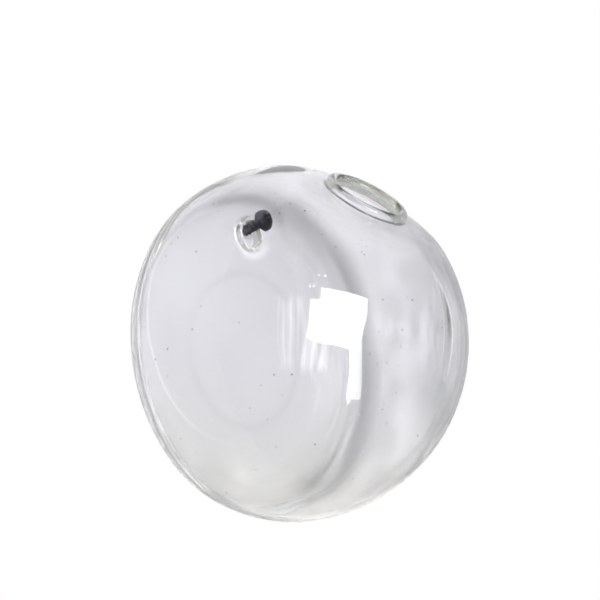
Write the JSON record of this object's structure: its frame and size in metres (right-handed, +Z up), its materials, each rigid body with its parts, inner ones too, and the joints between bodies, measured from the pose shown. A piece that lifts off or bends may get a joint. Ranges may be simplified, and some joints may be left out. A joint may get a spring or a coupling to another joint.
{
  "type": "wall-hung propagation vase",
  "caption": "Clear blown-glass bubble vase with a flat back, an open mouth at the upper front and a collared hole that hangs on a pan-head screw.",
  "frame": {"origin": "the point where the hanging screw's axis crosses the wall plane", "axes": "+Z up, the room towards -Y, +X to the right as seen from the room"},
  "size_m": [0.15, 0.126, 0.15],
  "materials": {
    "clear_glass": "clear mouth-blown glass, fire-polished at the lip",
    "black_steel": "blackened steel, satin"
  },
  "bodies": {
    "wall_screw": {"hanging_screw": "black_steel"},
    "vessel": {"glass_vessel": "clear_glass"}
  },
  "joints": [
    {"name": "swing_on_screw", "type": "hinge", "parent": "wall_screw", "child": "vessel", "pos_m": [0, -0.004, 0.001], "axis": [0, 1, 0], "range_deg": [-45, 45]}
  ]
}
